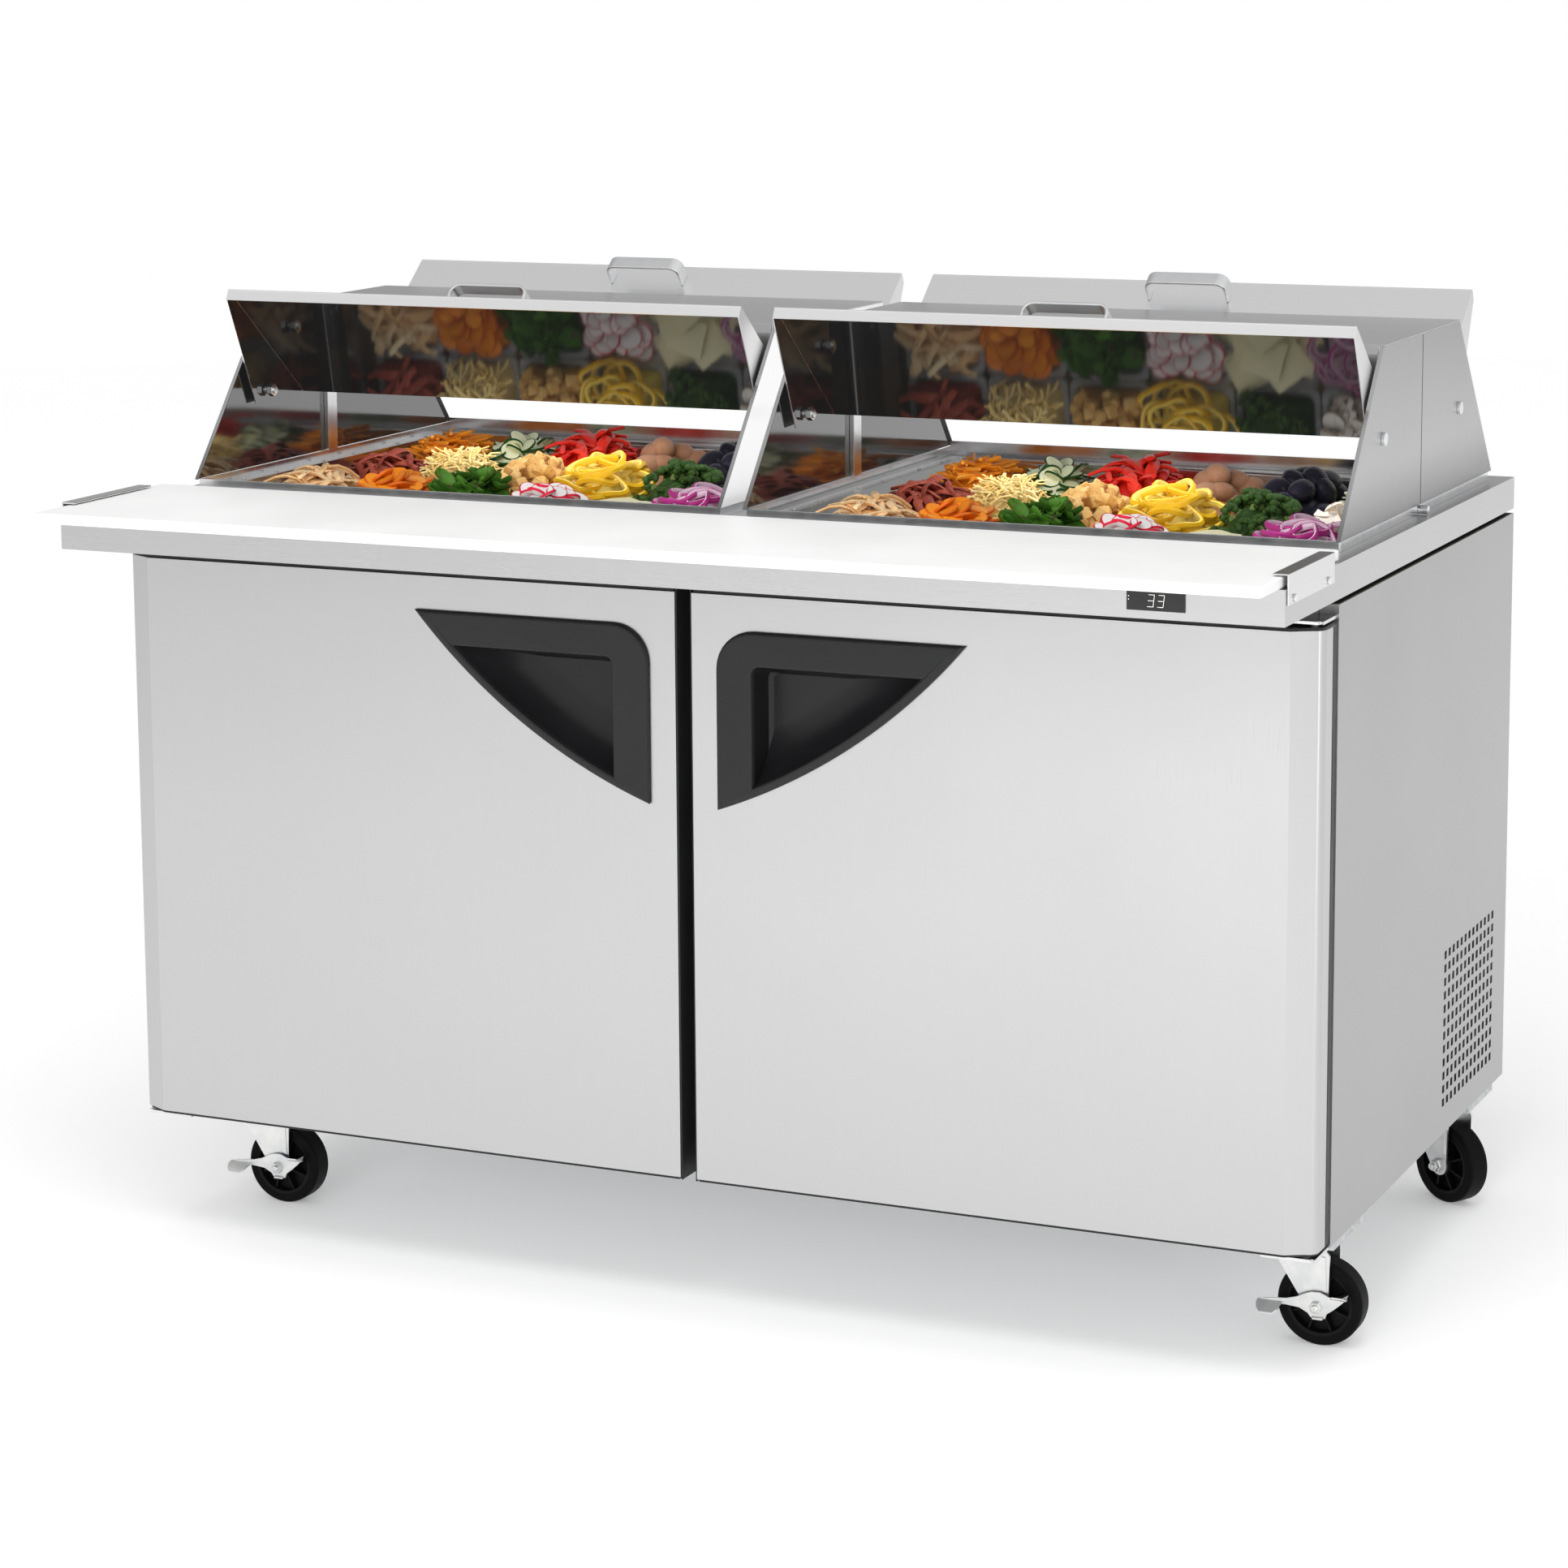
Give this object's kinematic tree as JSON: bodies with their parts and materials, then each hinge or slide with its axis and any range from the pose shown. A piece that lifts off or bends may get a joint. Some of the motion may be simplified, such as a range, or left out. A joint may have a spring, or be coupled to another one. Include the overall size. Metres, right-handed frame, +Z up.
{
  "type": "sandwich prep table",
  "caption": "Free-standing two-door refrigerated sandwich prep table with a cutting board, two raised pan hoods with front and rear lids, and swivel casters.",
  "frame": {"origin": "on the floor under the middle of the whole table", "axes": "+X along the width towards the right end, -Y towards the cutting board and the doors, +Z up"},
  "size_m": [1.5496, 1.042, 1.1916],
  "materials": {
    "stainless": "fine horizontal brushed grain",
    "galvanised": "galvanised sheet",
    "foam": "rigid foam with dark facing",
    "liner_steel": "satin",
    "coated_wire": "epoxy coated",
    "standard_steel": "satin",
    "white_plastic": "moulded",
    "coil_metal": "mill finish fins",
    "black_metal": "satin black",
    "black_plastic": "fine leather texture",
    "pan_plastic": "clear polycarbonate",
    "board_white": "lightly knife-marked polyethylene",
    "bracket_steel": "polished",
    "display": "gloss window with lit digits",
    "hood_steel": "brushed outside, polished inside",
    "chrome": "polished",
    "door_liner": "vacuum formed",
    "gasket": "magnetic vinyl bellows",
    "zinc": "bright zinc plate",
    "wheel_rubber": "solid polyolefin tread"
  },
  "bodies": {
    "cabinet": {"side_panel_left": "stainless", "side_panel_right": "stainless", "back_panel": "stainless", "front_frame": "stainless", "worktop": "stainless", "base_frame": "galvanised", "unit_tray": "galvanised", "foam_core": "foam", "top_insulation": "foam", "cabinet_liner": "liner_steel", "pan_wells": "liner_steel", "shelves": "coated_wire", "shelf_supports": "standard_steel", "divider_bars": "standard_steel", "evaporator_housing": "white_plastic", "condenser_coil": "coil_metal", "fan_motor": "black_metal", "compressor": "black_metal", "cord_gland": "black_plastic", "food_pans": "pan_plastic", "board_brackets": "bracket_steel", "door_hinges": "bracket_steel", "control_display": "display", "hood_ends_left": "hood_steel", "hood_ends_right": "hood_steel", "hood_covers": "hood_steel", "hood_frames": "hood_steel", "screws": "chrome", "caster_plates": "zinc"},
    "evaporator_fan": {"evaporator_fan": "white_plastic"},
    "condenser_fan": {"condenser_fan": "white_plastic"},
    "board": {"cutting_board": "board_white"},
    "lid_fl": {"lid_front_left": "hood_steel", "lid_handle_front_left": "chrome"},
    "lid_fr": {"lid_front_right": "hood_steel", "lid_handle_front_right": "chrome"},
    "lid_rl": {"lid_rear_left": "hood_steel", "lid_handle_rear_left": "chrome"},
    "lid_rr": {"lid_rear_right": "hood_steel", "lid_handle_rear_right": "chrome"},
    "door_l": {"door_skin_left": "stainless", "door_core_left": "door_liner", "door_gasket_left": "gasket", "door_handle_left": "black_plastic", "door_trim_left": "black_plastic"},
    "door_r": {"door_skin_right": "stainless", "door_core_right": "door_liner", "door_gasket_right": "gasket", "door_handle_right": "black_plastic", "door_trim_right": "black_plastic"},
    "caster_1": {"caster_fork_1": "zinc"},
    "wheel_1": {"caster_wheel_1": "wheel_rubber"},
    "caster_2": {"caster_fork_2": "zinc"},
    "wheel_2": {"caster_wheel_2": "wheel_rubber"},
    "caster_3": {"caster_fork_3": "zinc"},
    "wheel_3": {"caster_wheel_3": "wheel_rubber"},
    "caster_4": {"caster_fork_4": "zinc"},
    "wheel_4": {"caster_wheel_4": "wheel_rubber"},
    "pedal_1": {"brake_pedal_1": "zinc"},
    "pedal_2": {"brake_pedal_2": "zinc"}
  },
  "joints": [
    {"name": "door_left", "type": "hinge", "parent": "cabinet", "child": "door_l", "pos_m": [-0.748, -0.29, 0.5], "axis": [0, 0, -1], "range_deg": [0, 120], "stiffness_Nm_per_rad": 1, "springref_deg": -5.73},
    {"name": "door_right", "type": "hinge", "parent": "cabinet", "child": "door_r", "pos_m": [0.748, -0.29, 0.5], "axis": [0, 0, 1], "range_deg": [0, 120], "stiffness_Nm_per_rad": 1, "springref_deg": -5.73},
    {"name": "lid_front_left", "type": "hinge", "parent": "cabinet", "child": "lid_fl", "pos_m": [-0.37975, -0.018, 1.04], "axis": [1, 0, 0], "range_deg": [0, 92.5]},
    {"name": "lid_front_right", "type": "hinge", "parent": "cabinet", "child": "lid_fr", "pos_m": [0.37975, -0.018, 1.04], "axis": [1, 0, 0], "range_deg": [0, 92.5]},
    {"name": "lid_rear_left", "type": "hinge", "parent": "cabinet", "child": "lid_rl", "pos_m": [-0.37975, 0.316, 1.04], "axis": [-1, 0, 0], "range_deg": [0, 92.5]},
    {"name": "lid_rear_right", "type": "hinge", "parent": "cabinet", "child": "lid_rr", "pos_m": [0.37975, 0.316, 1.04], "axis": [-1, 0, 0], "range_deg": [0, 92.5]},
    {"name": "board_slide", "type": "slide", "parent": "cabinet", "child": "board", "axis": [0, -1, 0], "range_m": [0, 0.25]},
    {"name": "caster_swivel_1", "type": "hinge", "parent": "cabinet", "child": "caster_1", "pos_m": [-0.692, -0.138, 0.12], "axis": [0, 0, 1], "continuous": true},
    {"name": "caster_swivel_2", "type": "hinge", "parent": "cabinet", "child": "caster_2", "pos_m": [0.692, -0.138, 0.12], "axis": [0, 0, 1], "continuous": true},
    {"name": "caster_swivel_3", "type": "hinge", "parent": "cabinet", "child": "caster_3", "pos_m": [-0.692, 0.463, 0.12], "axis": [0, 0, 1], "continuous": true},
    {"name": "caster_swivel_4", "type": "hinge", "parent": "cabinet", "child": "caster_4", "pos_m": [0.692, 0.463, 0.12], "axis": [0, 0, 1], "continuous": true},
    {"name": "wheel_spin_1", "type": "hinge", "parent": "caster_1", "child": "wheel_1", "pos_m": [-0.66, -0.138, 0.0508], "axis": [0, 1, 0], "continuous": true},
    {"name": "wheel_spin_2", "type": "hinge", "parent": "caster_2", "child": "wheel_2", "pos_m": [0.724, -0.138, 0.0508], "axis": [0, 1, 0], "continuous": true},
    {"name": "wheel_spin_3", "type": "hinge", "parent": "caster_3", "child": "wheel_3", "pos_m": [-0.724, 0.463, 0.0508], "axis": [0, -1, 0], "continuous": true},
    {"name": "wheel_spin_4", "type": "hinge", "parent": "caster_4", "child": "wheel_4", "pos_m": [0.71971, 0.447, 0.0508], "axis": [0.5, 0.866, 0], "continuous": true},
    {"name": "brake_1", "type": "hinge", "parent": "caster_1", "child": "pedal_1", "pos_m": [-0.66, -0.166, 0.0508], "axis": [0, 1, 0], "range_deg": [-14, 0]},
    {"name": "brake_2", "type": "hinge", "parent": "caster_2", "child": "pedal_2", "pos_m": [0.724, -0.166, 0.0508], "axis": [0, 1, 0], "range_deg": [-14, 0]},
    {"name": "condenser_fan_spin", "type": "hinge", "parent": "cabinet", "child": "condenser_fan", "pos_m": [0.59, 0.36, 0.29], "axis": [1, 0, 0], "continuous": true},
    {"name": "evaporator_fan_spin", "type": "hinge", "parent": "cabinet", "child": "evaporator_fan", "pos_m": [0, 0.35, 0.6], "axis": [0, 1, 0], "continuous": true}
  ]
}
